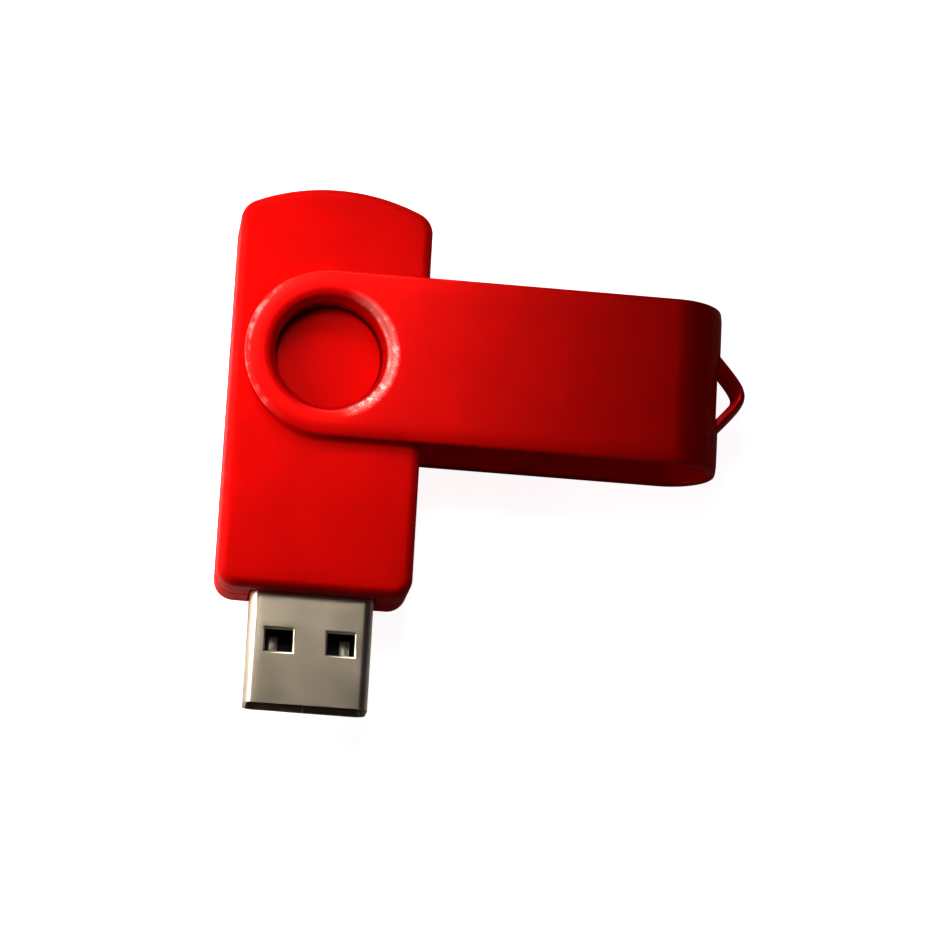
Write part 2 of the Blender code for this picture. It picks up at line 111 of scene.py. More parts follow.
# Body shells.
BACK_ARC_RADIUS = 20.0 * MM
FRONT_CORNER_RADIUS = 2.0 * MM
BACK_CORNER_RADIUS = 2.2 * MM
EDGE_ROUNDING = 1.0 * MM
SEAM_HALF = 0.05 * MM
SEAM_CHAMFER = 0.12 * MM
WALL = 1.2 * MM
GAP = 0.3 * MM
HUB_DISC_HALF = MID_HEIGHT - 2.6 * MM
HUB_DISC_RADIUS = HOLE_RADIUS - GAP / 2
HUB_DISC_ROUNDING = 0.12 * MM
GROOVE_FLOOR_HALF = MID_HEIGHT - COLLAR_DEPTH - GAP
GROOVE_RADIUS = HOLE_RADIUS + ROLL_RADIUS - GAP
HUB_BOSS_RADIUS = GROOVE_RADIUS + 1.6 * MM
HUB_CEILING_HALF = GROOVE_FLOOR_HALF - 0.8 * MM
TOP_SHARES = (0.06, 0.25, 0.5, 0.75, 0.94)
DISC_SHARES = (0.8, 0.5, 0.25, 0.08)

# Plug.
PLUG_SHEET = 0.3 * MM
PLUG_CORNER_RADIUS = 1.0 * MM
WINDOW_LENGTH = 2.1 * MM
WINDOW_WIDTH = 2.6 * MM
WINDOW_X = 3.0 * MM
WINDOW_FROM_TIP = 6.2 * MM
WINDOW_ROLL = 0.27 * MM
PLUG_EDGE_ROUNDING = 0.05 * MM
PLUG_TIP = PLUG_LOW.y
PLUG_MID_HEIGHT = (PLUG_LOW.z + PLUG_HIGH.z) / 2
SEAM_GROOVE_HALF = 0.08 * MM
SEAM_GROOVE_DEPTH = 0.12 * MM
SEAM_KEY_WIDTH = 0.9 * MM
SEAM_KEY_SLOPE = 0.15 * MM
SEAM_KEY_LENGTH = 1.2 * WINDOW_LENGTH
TOUCHING = 0.01 * MM

# Insert and contacts.
TONGUE_TOP = 4.9 * MM
CHEEK = 0.7 * MM
RAIL_LENGTH = 5.4 * MM
TONGUE_ROUNDING = 0.12 * MM
BRIDGE_SETBACK = WINDOW_FROM_TIP + WINDOW_LENGTH / 3
CONTACT_NOSE = 1.0 * MM
CONTACT_NOSE_FALL = 0.35 * MM
CONTACT_CROWN = 0.16 * MM
CONTACT_LIFT = 0.02 * MM

# Floor.
FLOOR_GLOW = 0.93
FLOOR_HALF = 3.0
SHEET_GAP = 0.05 * MM

# Picture.
VIEW_GAMMA = 0.75
LENS = 155.3
SENSOR_WIDTH = 36.0
CAMERA_PLACE = Vector((-24.37, -106.79, 393.21)) * MM
CAMERA_TURN = (13.643, -6.559, 3.087)

# Facets of the round stretches, and steps along the straight ones.
AROUND = 192
EIGHTH = AROUND // 8
ROLL_FACETS = 16
BEND_FACETS = 14
CORNER_FACETS = 16
ARC_FACETS = 64
EDGE_FACETS = 10
LIP_FACETS = 4
PLUG_FACETS = 8
NOSE_FACETS = 7
CROWN_FACETS = 6
LOOP_COLUMNS = 14
FLAT_ROWS = 8
LOOP_ROWS = 4
FRONT_STEPS = 34
SIDE_STEPS = 76

# Angles, in degrees, above which an edge stays sharp.
SHEET_CREASE = 35
SHELL_CREASE = 40
METAL_CREASE = 50


# ---------------------------------------------------------------- meshes


def new_piece(name, builder, crease=SHEET_CREASE):
    """Turn a filled BMesh into a piece that stands at the pivot."""
    mesh = bpy.data.meshes.new(name)
    bmesh.ops.recalc_face_normals(builder, faces=builder.faces)
    builder.to_mesh(mesh)
    builder.free()
    mesh.shade_smooth()
    mesh.set_sharp_from_angle(angle=radians(crease))
    piece = bpy.data.objects.new(name, mesh)
    piece.location = PIVOT
    bpy.context.scene.collection.objects.link(piece)
    return piece


def apply_modifiers(piece):
    """Replace the piece's mesh with its evaluated one."""
    graph = bpy.context.evaluated_depsgraph_get()
    mesh = bpy.data.meshes.new_from_object(piece.evaluated_get(graph))
    piece.modifiers.clear()
    piece.data = mesh


def thicken(piece, thickness):
    modifier = piece.modifiers.new("sheet", "SOLIDIFY")
    modifier.thickness = thickness
    modifier.offset = 0.0
    modifier.use_even_offset = True
    modifier.use_quality_normals = True


def round_edges(piece, width, segments=3, angle=50):
    modifier = piece.modifiers.new("rounding", "BEVEL")
    modifier.width = width
    modifier.segments = segments
    modifier.limit_method = "ANGLE"
    modifier.angle_limit = radians(angle)
    modifier.use_clamp_overlap = True
    modifier.harden_normals = False


def even_shading(piece):
    """Keep flat faces flat beside the fine roundings."""
    modifier = piece.modifiers.new("shading", "WEIGHTED_NORMAL")
    modifier.keep_sharp = True
    modifier.weight = 90


def cut(piece, cutter, operation="DIFFERENCE"):
    """Boolean with a helper, which is then removed."""
    modifier = piece.modifiers.new("cut", "BOOLEAN")
    modifier.operation = operation
    modifier.solver = "EXACT"
    modifier.object = cutter
    bpy.context.view_layer.update()
    apply_modifiers(piece)
    bpy.data.objects.remove(cutter, do_unlink=True)


def skin_rings(builder, rings):
    """Join a stack of equal rings of points with quads, and close both ends."""
    loops = [[builder.verts.new(point) for point in ring] for ring in rings]
    count = len(loops[0])
    for lower, upper in zip(loops, loops[1:]):
        for index in range(count):
            following = (index + 1) % count
            builder.faces.new(
                (lower[index], lower[following], upper[following], upper[index]))
    builder.faces.new(reversed(loops[0]))
    builder.faces.new(loops[-1])


def box_bmesh(low, high):
    builder = bmesh.new()
    middle = (Vector(low) + Vector(high)) / 2
    size = Vector(high) - Vector(low)
    matrix = Matrix.Translation(middle) @ Matrix.Diagonal((*size, 1.0))
    bmesh.ops.create_cube(builder, size=1.0, matrix=matrix)
    return builder


def arc_points(centre, radius, start, end, facets):
    points = []
    for step in range(facets + 1):
        angle = start + (end - start) * step / facets
        points.append((centre[0] + radius * cos(angle), centre[1] + radius * sin(angle)))
    return points


def circle_points(radius, facets=AROUND):
    return arc_points((0, 0), radius, 0, 2 * pi, facets)[:-1]


# ---------------------------------------------------------------- cover


def hub_profile():
    """Radius and drop of the sheet's middle from the collar's end to the flat."""
    collar = HOLE_RADIUS + SHEET / 2
    roll = ROLL_RADIUS - SHEET / 2
    depth = COLLAR_DEPTH - SHEET / 2
    profile = [(collar, depth), (collar, depth - 2 * SHEET_ROUNDING)]
    for step in range(ROLL_FACETS + 1):
        angle = pi / 2 * step / ROLL_FACETS
        along = max(0.0, cos(angle)) ** ROLL_SQUARENESS
        across = sin(angle) ** ROLL_SQUARENESS
        profile.append((collar + roll * (1 - along), roll * (1 - across)))
    return profile


def strip_places():
    """Places across the strip: close together at the loop's ends and the rims."""
    places = []
    for index in range(LOOP_COLUMNS + 1):
        places.append(LOOP_HALF_LENGTH * index / LOOP_COLUMNS)
    outer_columns = EIGHTH - LOOP_COLUMNS
    for index in range(1, outer_columns + 1):
        share = index / outer_columns
        places.append(LOOP_HALF_LENGTH + share * (COVER_HALF - LOOP_HALF_LENGTH))
    return [-place for place in reversed(places[1:])] + places


def rim_point(index, places):
    """Point of the arm's rim at a step round it: a half round, then a square end."""
    turn = index if index <= AROUND // 2 else index - AROUND
    if abs(turn) <= EIGHTH:
        return (COVER_HALF, places[turn + EIGHTH])
    angle = 2 * pi * turn / AROUND
    x, y = cos(angle), sin(angle)
    if x < 0:
        return (COVER_HALF * x, COVER_HALF * y)
    return (COVER_HALF * x / abs(y), COVER_HALF * y / abs(y))


def rim_drop(x, y):
    """How far the sheet droops towards its rim, as a stamped edge does."""
    inwards = COVER_HALF - (hypot(x, y) if x < 0 else abs(y))
    share = max(0.0, 1 - inwards / RIM_DROOP_WIDTH)
    return RIM_DROOP * share ** 2


def arm_rings(builder, flat_height, down, places):
    """Rolled hub ring of one arm. Returns the outer ring of vertices."""
    rings = []
    for radius, drop in hub_profile():
        height = flat_height + down * drop
        circle = circle_points(radius)
        rings.append([builder.verts.new((x, y, height)) for x, y in circle])
    crest = circle_points(hub_profile()[-1][0])
    rim = [rim_point(index, places) for index in range(AROUND)]
    for share in ARM_SHARES:
        ring = []
        for (inner_x, inner_y), (outer_x, outer_y) in zip(crest, rim):
            x = inner_x + share * (outer_x - inner_x)
            y = inner_y + share * (outer_y - inner_y)
            ring.append(builder.verts.new((x, y, flat_height + down * rim_drop(x, y))))
        rings.append(ring)
    for inner, outer in zip(rings, rings[1:]):
        for index in range(AROUND):
            following = (index + 1) % AROUND
            builder.faces.new(
                (inner[index], inner[following], outer[following], outer[index]))
    return rings[-1]


def loop_offset(across):
    """How far the lanced strip stands out of the end wall at a place across it."""
    share = abs(across) / LOOP_HALF_LENGTH
    rounding = LOOP_TIP_ROUNDING
    fall = (hypot(share, rounding) - rounding) / (hypot(1, rounding) - rounding)
    return LOOP_PROJECTION * max(0.0, 1 - fall)


def fold_rows():
    """Rows round the fold as (x, z, outward x, outward z), top to bottom.

    Also gives the two rows where the loop's slits are.
    """
    radius = BEND_RADIUS - SHEET / 2
    centre_x = COVER_REACH - BEND_RADIUS
    centre_z = COVER_HEIGHT - BEND_RADIUS
    slit = acos((MID_HEIGHT + LOOP_HEIGHT / 2 - centre_z) / radius)
    angles = [slit * step / BEND_FACETS for step in range(BEND_FACETS + 1)]
    for step in range(1, LOOP_ROWS + 1):
        angles.append(slit + (pi / 2 - slit) * step / LOOP_ROWS)
    flat_length = centre_x - COVER_HALF
    upper = []
    for step in range(1, FLAT_ROWS):
        x = COVER_HALF + flat_length * step / FLAT_ROWS
        upper.append((x, COVER_HEIGHT - SHEET / 2, 0.0, 1.0))
    for angle in angles:
        x = centre_x + radius * sin(angle)
        upper.append((x, centre_z + radius * cos(angle), sin(angle), cos(angle)))
    lower = []
    for x, z, out_x, out_z in reversed(upper):
        lower.append((x, COVER_HEIGHT - z, out_x, -out_z))
    rows = upper + lower
    slit_row = FLAT_ROWS - 1 + BEND_FACETS
    return rows, slit_row, len(rows) - 1 - slit_row


def square_end(ring):
    """Vertices of an arm's ring along its square end, from -Y to +Y."""
    return [ring[index % AROUND] for index in range(-EIGHTH, EIGHTH + 1)]


def slit_side(row, first_slit, last_slit):
    """1 on the upper slit's row, -1 on the lower one's, 0 between, None outside."""
    if row < first_slit or row > last_slit:
        return None
    return {first_slit: 1, last_slit: -1}.get(row, 0)


def fold_row(builder, row, places, side):
    """Vertices of one row of the fold: those of the wall, and those of the strip.

    Between the slits the wall is open where the loop stands out of it.
    """
    x, z, out_x, out_z = row
    wall = []
    strip = []
    for place in places:
        offset = loop_offset(place)
        in_loop = side is not None and offset > 0
        lift = side * LOOP_SLIT / 2 if in_loop else 0.0
        if in_loop and side == 0:
            wall.append(None)
        else:
            drop = rim_drop(COVER_HALF, place)
            point = (x - out_x * drop, place, z - out_z * drop + lift)
            wall.append(builder.verts.new(point))
        if in_loop:
            strip.append(builder.verts.new((x + offset, place, z - lift)))
        else:
            strip.append(wall[-1])
    return wall, strip


def cover_surface():
    """Middle surface of the folded sheet, with the loop's strip pushed out."""
    builder = bmesh.new()
    places = strip_places()
    top = arm_rings(builder, COVER_HEIGHT - SHEET / 2, -1, places)
    bottom = arm_rings(builder, SHEET / 2, 1, places)
    rows, first_slit, last_slit = fold_rows()
    wall_rows = [square_end(top)]
    strip_rows = [wall_rows[0]]
    for index, row in enumerate(rows):
        side = slit_side(index, first_slit, last_slit)
        wall, strip = fold_row(builder, row, places, side)
        wall_rows.append(wall)
        strip_rows.append(strip)
    wall_rows.append(square_end(bottom))
    strip_rows.append(wall_rows[-1])
    for row in range(len(wall_rows) - 1):
        in_strip = first_slit < row <= last_slit
        for column in range(len(places) - 1):
            middle = (places[column] + places[column + 1]) / 2
            across = strip_rows if in_strip and loop_offset(middle) > 0 else wall_rows
            builder.faces.new(
                (across[row][column], across[row][column + 1],
                 across[row + 1][column + 1], across[row + 1][column]))
    return builder


def make_cover(finish):
    cover = new_piece("cover_sheet", cover_surface())
    thicken(cover, SHEET)
    round_edges(cover, SHEET_ROUNDING)
    even_shading(cover)
    cover.data.materials.append(finish)
    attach(cover, "cover")
    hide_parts("swivel_cover")
    return cover


# ---------------------------------------------------------------- body


def body_outline(inset):
    """Plan outline of the body, moved inwards by an inset, anticlockwise.

    Its sides are divided as on the outer outline, so all outlines match.
    """
    half = BODY_HALF_WIDTH - inset
    front = -BODY_FRONT + inset
    front_radius = max(FRONT_CORNER_RADIUS - inset, GAP)
    back_radius = max(BACK_CORNER_RADIUS - inset, GAP)
    arc_radius = BACK_ARC_RADIUS - inset
    arc_centre = BODY_BACK - BACK_ARC_RADIUS
    corner_x = half - back_radius
    corner_rise = sqrt((arc_radius - back_radius) ** 2 - corner_x ** 2)
    corner_y = arc_centre + corner_rise
    turn = atan2(corner_rise, corner_x)
    front_x = half - front_radius
    front_y = front + front_radius
    corners = [
        arc_points((-front_x, front_y), front_radius, pi, 1.5 * pi, CORNER_FACETS),
        arc_points((front_x, front_y), front_radius, -pi / 2, 0, CORNER_FACETS),
        arc_points((corner_x, corner_y), back_radius, 0, turn, CORNER_FACETS),
        arc_points((0, arc_centre), arc_radius, turn, pi - turn, ARC_FACETS)[1:-1],
        arc_points((-corner_x, corner_y), back_radius, pi - turn, pi, CORNER_FACETS),
    ]
    side_counts = (FRONT_STEPS, SIDE_STEPS, 0, 0, SIDE_STEPS)
    points = []
    for index, corner in enumerate(corners):
        points += corner
        following = corners[(index + 1) % len(corners)][0]
        last = corner[-1]
        for step in range(1, side_counts[index]):
            share = step / side_counts[index]
            points.append(
                (last[0] + share * (following[0] - last[0]),
                 last[1] + share * (following[1] - last[1])))
    return points


def outline_ring(inset, height):
    return [(x, y, height) for x, y in body_outline(inset)]


def hub_ring(radius, height):
    """Circle with one point towards each point of the outline."""
    ring = []
    for x, y in body_outline(0.0):
        reach = hypot(x, y)
        ring.append((x * radius / reach, y * radius / reach, height))
    return ring


def between(outer, inner, share):
    return [tuple(Vector(a).lerp(Vector(b), share)) for a, b in zip(outer, inner)]


def shell_solid():
    """Outside of one shell, from the seam over the top to the hub disc's middle."""
    rings = [
        outline_ring(SEAM_CHAMFER, SEAM_HALF),
        outline_ring(0.0, SEAM_HALF + SEAM_CHAMFER),
    ]
    wall_top = BODY_HALF - EDGE_ROUNDING
    for step in range(EDGE_FACETS + 1):
        angle = pi / 2 * step / EDGE_FACETS
        inset = EDGE_ROUNDING * (1 - cos(angle))
        rings.append(outline_ring(inset, wall_top + EDGE_ROUNDING * sin(angle)))
    top_edge = outline_ring(EDGE_ROUNDING, BODY_HALF)
    groove_edge = GROOVE_RADIUS + HUB_DISC_ROUNDING
    hub_edge = hub_ring(groove_edge, BODY_HALF)
    for share in TOP_SHARES:
        rings.append(between(top_edge, hub_edge, share))
    for step in range(LIP_FACETS + 1):
        angle = pi / 2 * step / LIP_FACETS
        radius = groove_edge - HUB_DISC_ROUNDING * sin(angle)
        rings.append(hub_ring(radius, BODY_HALF - HUB_DISC_ROUNDING * (1 - cos(angle))))
    rings.append(hub_ring(GROOVE_RADIUS, GROOVE_FLOOR_HALF))
    rings.append(hub_ring(HUB_DISC_RADIUS, GROOVE_FLOOR_HALF))
    for step in range(LIP_FACETS + 1):
        angle = pi / 2 * step / LIP_FACETS
        radius = HUB_DISC_RADIUS - HUB_DISC_ROUNDING * (1 - cos(angle))
        rings.append(hub_ring(radius, HUB_DISC_HALF - HUB_DISC_ROUNDING * (1 - sin(angle))))
    for share in DISC_SHARES:
        rings.append(hub_ring((HUB_DISC_RADIUS - HUB_DISC_ROUNDING) * share, HUB_DISC_HALF))
    builder = bmesh.new()
    skin_rings(builder, rings)
    return builder


def cavity_solid():
    """Space inside one shell, left solid under the hub."""
    cavity_builder = bmesh.new()
    skin_rings(
        cavity_builder,
        [outline_ring(WALL, -BODY_HALF), outline_ring(WALL, BODY_HALF - WALL)])
    cavity = new_piece("cavity", cavity_builder)
    boss = bmesh.new()
    boss_rings = []
    for height in (HUB_CEILING_HALF, BODY_HALF + WALL):
        boss_rings.append([(x, y, height) for x, y in circle_points(HUB_BOSS_RADIUS)])
    skin_rings(boss, boss_rings)
    cut(cavity, new_piece("boss", boss))
    return cavity


def make_shell(name, node, finish, turned):
    """One body shell. The lower one is the upper one turned over about Y."""
    shell = new_piece(name, shell_solid(), SHELL_CREASE)
    cut(shell, cavity_solid())
    mouth_x = PLUG_HIGH.x + GAP / 2
    mouth_z = PLUG_HIGH.z - MID_HEIGHT + GAP / 2
    mouth = box_bmesh(
        (-mouth_x, -BODY_FRONT - WALL, -PLUG_HIGH.z),
        (mouth_x, -BODY_FRONT + 2 * WALL, mouth_z))
    cut(shell, new_piece("mouth", mouth))
    mesh = shell.data
    if turned:
        mesh.transform(Matrix.Rotation(pi, 4, "Y"))
    mesh.transform(Matrix.Translation((0, 0, MID_HEIGHT)))
    mesh.shade_smooth()
    mesh.set_sharp_from_angle(angle=radians(SHELL_CREASE))
    even_shading(shell)
    mesh.materials.clear()
    mesh.materials.append(finish)
    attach(shell, "drive")
    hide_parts(node)
    return shell


# ---------------------------------------------------------------- plug


def plug_section(seam_shift):
    """Middle of the plug's sheet round its section, creased at the seam below."""
    half_x = PLUG_HIGH.x - PLUG_SHEET / 2
    half_z = (PLUG_HIGH.z - PLUG_LOW.z - PLUG_SHEET) / 2
    radius = PLUG_CORNER_RADIUS - PLUG_SHEET / 2
    edge = WINDOW_WIDTH / 2
    window_lines = [WINDOW_X + edge, WINDOW_X - edge, edge - WINDOW_X, -edge - WINDOW_X]
    inner_x = half_x - radius
    inner_z = half_z - radius
    points = [
        (seam_shift, SEAM_GROOVE_DEPTH - half_z),
        (seam_shift + SEAM_GROOVE_HALF, -half_z),
    ]
    points += [(-x, -half_z) for x in window_lines[2:]]
    points += arc_points((inner_x, -inner_z), radius, -pi / 2, 0, PLUG_FACETS)
    points += arc_points((inner_x, inner_z), radius, 0, pi / 2, PLUG_FACETS)
    points += [(x, half_z) for x in window_lines]
    points += arc_points((-inner_x, inner_z), radius, pi / 2, pi, PLUG_FACETS)
    points += arc_points((-inner_x, -inner_z), radius, pi, 1.5 * pi, PLUG_FACETS)
    points += [(-x, -half_z) for x in window_lines[:2]]
    points.append((seam_shift - SEAM_GROOVE_HALF, -half_z))
    return points


def in_window(x_middle, y_middle):
    near_x = abs(abs(x_middle) - WINDOW_X) < WINDOW_WIDTH / 2
    near_y = abs(y_middle - PLUG_TIP - WINDOW_FROM_TIP) < WINDOW_LENGTH / 2
    return near_x and near_y


def on_window_rim(middle):
    """Whether an edge's middle lies on the outer rim of a window."""
    across = abs(abs(middle.x) - WINDOW_X)
    along = abs(middle.y - PLUG_TIP - WINDOW_FROM_TIP)
    outside = min(abs(middle.z - PLUG_LOW.z), abs(middle.z - PLUG_HIGH.z)) < TOUCHING
    on_side = abs(across - WINDOW_WIDTH / 2) < TOUCHING and along < WINDOW_LENGTH / 2
    on_end = abs(along - WINDOW_LENGTH / 2) < TOUCHING and across < WINDOW_WIDTH / 2
    return outside and (on_side or on_end)


def roll_windows(mesh):
    """Roll the outer edges of the windows inwards, as punching leaves them."""
    builder = bmesh.new()
    builder.from_mesh(mesh)
    edges = []
    for edge in builder.edges:
        middle = (edge.verts[0].co + edge.verts[1].co) / 2
        if on_window_rim(middle) and edge.calc_face_angle(0.0) > 1:
            edges.append(edge)
    bmesh.ops.bevel(
        builder, geom=edges, offset=WINDOW_ROLL, segments=4, profile=0.5, affect="EDGES")
    builder.to_mesh(mesh)
    builder.free()
    mesh.shade_smooth()
    mesh.set_sharp_from_angle(angle=radians(METAL_CREASE))


def plug_stations():
    """Places along the plug, each with how far the seam is shifted there."""
    window_middle = PLUG_TIP + WINDOW_FROM_TIP
    first_key = window_middle + WINDOW_LENGTH
    second_key = first_key + SEAM_KEY_LENGTH
    return [
        (PLUG_TIP, 0.0),
        (window_middle - WINDOW_LENGTH / 2, 0.0),
        (window_middle + WINDOW_LENGTH / 2, 0.0),
        (first_key - SEAM_KEY_SLOPE, SEAM_KEY_WIDTH),
        (first_key, 0.0),
        (second_key - SEAM_KEY_SLOPE, 0.0),
        (second_key, SEAM_KEY_WIDTH),
        (PLUG_HIGH.y, 0.0),
    ]


def make_plug(finish):
    """Folded sheet tube with two windows in each wide face and a keyed seam."""
    stations = plug_stations()
    builder = bmesh.new()
    rings = []
    for y, shift in stations:
        section = plug_section(shift)
        rings.append([builder.verts.new((x, y, z + PLUG_MID_HEIGHT)) for x, z in section])
    for row in range(len(stations) - 1):
        y_middle = (stations[row][0] + stations[row + 1][0]) / 2
        for index in range(len(rings[0])):
            following = (index + 1) % len(rings[0])
            first = rings[row][index].co
            second = rings[row][following].co
            wide_face = abs(first.z - second.z) < 1e-9
            x_middle = (first.x + second.x) / 2
            if wide_face and in_window(x_middle, y_middle):
                continue
            builder.faces.new(
                (rings[row][index], rings[row][following],
                 rings[row + 1][following], rings[row + 1][index]))
    plug = new_piece("plug_tube", builder)
    thicken(plug, PLUG_SHEET)
    bpy.context.view_layer.update()
    apply_modifiers(plug)
    roll_windows(plug.data)
    round_edges(plug, PLUG_EDGE_ROUNDING, 2)
    even_shading(plug)
    plug.data.materials.append(finish)
    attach(plug, "drive")
    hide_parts("plug_shell")
    return plug


def make_tongue(finish):
    """Insert with a tongue under the contacts and a bridge over their roots."""
    half = INSERT_HIGH.x
    tongue_box = box_bmesh(
        (-half, INSERT_LOW.y, INSERT_LOW.z),
        (half, INSERT_HIGH.y, TONGUE_TOP))
    tongue = new_piece("tongue", tongue_box)
    bridge = box_bmesh(
        (-half + CHEEK, PLUG_TIP + BRIDGE_SETBACK, TONGUE_TOP - CHEEK),
        (half - CHEEK, INSERT_HIGH.y, TONGUE_TOP + CHEEK))
    cut(tongue, new_piece("bridge", bridge), "UNION")
    for side in (-1, 1):
        low_x, high_x = sorted((side * (half - CHEEK), side * half))
        rail = box_bmesh(
            (low_x, INSERT_HIGH.y - RAIL_LENGTH, INSERT_LOW.z),
            (high_x, INSERT_HIGH.y, INSERT_HIGH.z))
        cut(tongue, new_piece("rail", rail), "UNION")
    round_edges(tongue, TONGUE_ROUNDING, 2)
    even_shading(tongue)
    tongue.data.materials.append(finish)
    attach(tongue, "drive")
    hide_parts("plug_insert")
    return tongue


def contact_section(centre_x, half_width, y, top, foot):
    """Domed section of a contact: an arch over a flat foot."""
    section = []
    for step in range(CROWN_FACETS + 1):
        angle = pi * step / CROWN_FACETS
        x = centre_x + half_width * cos(angle)
        section.append((x, y, top - CONTACT_CROWN * (1 - sin(angle))))
    section.append((centre_x - half_width, y, foot))
    section.append((centre_x + half_width, y, foot))
    return section


def make_contact(node, finish):
    """Domed strip, with its nose curled down into the front of the tongue."""
    low, high = span(node)
    half_width = (high.x - low.x) / 2
    centre_x = (high.x + low.x) / 2
    stations = []
    for step in range(NOSE_FACETS + 1):
        stations.append(low.y + CONTACT_NOSE * (1 - cos(pi / 2 * step / NOSE_FACETS)))
    stations.append(high.y)
    rings = []
    for y in stations:
        before_crown = 1 - min(1.0, (y - low.y) / CONTACT_NOSE)
        fall = CONTACT_NOSE_FALL * (1 - sqrt(max(0.0, 1 - before_crown ** 2)))
        foot = low.z - fall / 2 + CONTACT_LIFT
        rings.append(contact_section(centre_x, half_width, y, high.z - fall, foot))
    builder = bmesh.new()
    skin_rings(builder, rings)
    strip = new_piece(node.replace("contact", "strip"), builder, METAL_CREASE)
    strip.data.materials.append(finish)
    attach(strip, "drive")
    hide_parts(node)
    return strip


# ---------------------------------------------------------------- materials


class Surface:
    """A material in the making: a Principled shader and its pattern nodes."""

    def __init__(self, name, colour, roughness, metallic=0.0, specular=0.5):
        self.material = bpy.data.materials.new(name)
        self.material.use_nodes = True
        self.tree = self.material.node_tree
        self.shader = self.tree.nodes["Principled BSDF"]
        self.set("Base Color", colour)
        self.set("Roughness", roughness)
        self.set("Metallic", metallic)
        self.set("Specular IOR Level", specular)
        self.place = self.add("ShaderNodeTexCoord").outputs["Object"]
        self.normal = None

    def add(self, kind, **settings):
        node = self.tree.nodes.new(kind)
        for name, value in settings.items():
            setattr(node, name, value)
        return node

    def set(self, socket, value):
        self.shader.inputs[socket].default_value = value

    def link(self, output, socket):
        self.tree.links.new(output, socket)

    def feed(self, output, socket):
        self.link(output, self.shader.inputs[socket])

    def noise(self, scale, detail=2.0, roughness=0.5, stretch=(1, 1, 1)):
        """Noise with about one blotch in 1/scale metres."""
        mapping = self.add("ShaderNodeMapping")
        mapping.inputs["Scale"].default_value = stretch
        self.link(self.place, mapping.inputs["Vector"])
        noise = self.add("ShaderNodeTexNoise")
        noise.inputs["Scale"].default_value = scale
        noise.inputs["Detail"].default_value = detail
        noise.inputs["Roughness"].default_value = roughness
        self.link(mapping.outputs["Vector"], noise.inputs["Vector"])
        return noise.outputs["Fac"]

    def remap(self, value, low, high, to_low=0.0, to_high=1.0, smooth=False):
        node = self.add("ShaderNodeMapRange")
        node.interpolation_type = "SMOOTHSTEP" if smooth else "LINEAR"
        node.inputs["From Min"].default_value = low
        node.inputs["From Max"].default_value = high
        node.inputs["To Min"].default_value = to_low
        node.inputs["To Max"].default_value = to_high
        self.link(value, node.inputs["Value"])
        return node.outputs["Result"]

    def math(self, operation, first, second=None):
        node = self.add("ShaderNodeMath", operation=operation)
        for socket, value in zip(node.inputs, (first, second)):
            if value is None:
                continue
            if isinstance(value, (int, float)):
                socket.default_value = value
            else:
                self.link(value, socket)
        return node.outputs[0]

    def mix(self, factor, first, second):
        """Colour between two colours, each a value or another node's output."""
        node = self.add("ShaderNodeMix", data_type="RGBA")
        sockets = (node.inputs[0], node.inputs[6], node.inputs[7])
        for socket, value in zip(sockets, (factor, first, second)):
            if isinstance(value, tuple):
                socket.default_value = value
            else:
                self.link(value, socket)
        return node.outputs[2]

    def bump(self, height, distance, strength=1.0):
        node = self.add("ShaderNodeBump")
        node.inputs["Distance"].default_value = distance
        node.inputs["Strength"].default_value = strength
        self.link(height, node.inputs["Height"])
        if self.normal:
            self.link(self.normal, node.inputs["Normal"])
        self.normal = node.outputs["Normal"]
        self.feed(self.normal, "Normal")

    def tilt(self):
        """How far a face leans from the level, 0 when level and 1 when upright."""
        geometry = self.add("ShaderNodeNewGeometry")
        parts = self.add("ShaderNodeSeparateXYZ")
        self.link(geometry.outputs["Normal"], parts.inputs["Vector"])
        return self.math("SUBTRACT", 1.0, self.math("ABSOLUTE", parts.outputs["Z"]))

    def band(self, value, start, full_from, full_to, end):
        """1 where a value lies in a band, easing to 0 on both sides of it."""
        rise = self.remap(value, start, full_from, 0.0, 1.0, True)
        fall = self.remap(value, full_to, end, 1.0, 0.0, True)
        return self.math("MULTIPLY", rise, fall)

    def along(self, axis):
        """Place along one axis from the pivot."""
        parts = self.add("ShaderNodeSeparateXYZ")
        self.link(self.place, parts.inputs["Vector"])
        return parts.outputs[axis]

    def hub_distance(self):
        """Distance from the swivel axis."""
        parts = self.add("ShaderNodeSeparateXYZ")
        self.link(self.place, parts.inputs["Vector"])
        flat = self.add("ShaderNodeCombineXYZ")
        self.link(parts.outputs["X"], flat.inputs["X"])
        self.link(parts.outputs["Y"], flat.inputs["Y"])
        length = self.add("ShaderNodeVectorMath", operation="LENGTH")
        self.link(flat.outputs["Vector"], length.inputs[0])
        return length.outputs["Value"]


def body_plastic():
    """Satin moulded ABS: fine texture, slight clouding, edges rubbed smoother."""
    surface = Surface("red_body_plastic", (0.78, 0.002, 0.001, 1), 0.5, specular=0.35)
    surface.set("Specular Tint", (1.0, 0.15, 0.12, 1))
    cloud = surface.remap(surface.noise(120, 3), 0.3, 0.7)
    red = surface.mix(cloud, (0.74, 0.0018, 0.0008, 1), (0.86, 0.0024, 0.001, 1))
    edge = surface.band(surface.tilt(), 0.06, 0.4, 0.5, 0.95)
    rub = surface.math("MULTIPLY", edge, surface.remap(surface.noise(900, 4), 0.5, 0.68))
    pale_marks = surface.mix(surface.math("MULTIPLY", rub, 0.35), red, (0.9, 0.03, 0.02, 1))
    surface.feed(pale_marks, "Base Color")
    rough = surface.remap(surface.noise(600, 3), 0.3, 0.7, 0.42, 0.56)
    smoother = surface.math("MULTIPLY", rub, 0.12)
    surface.feed(surface.math("SUBTRACT", rough, smoother), "Roughness")
    surface.bump(surface.noise(3800, 2), 0.012 * MM, 0.8)
    return surface.material


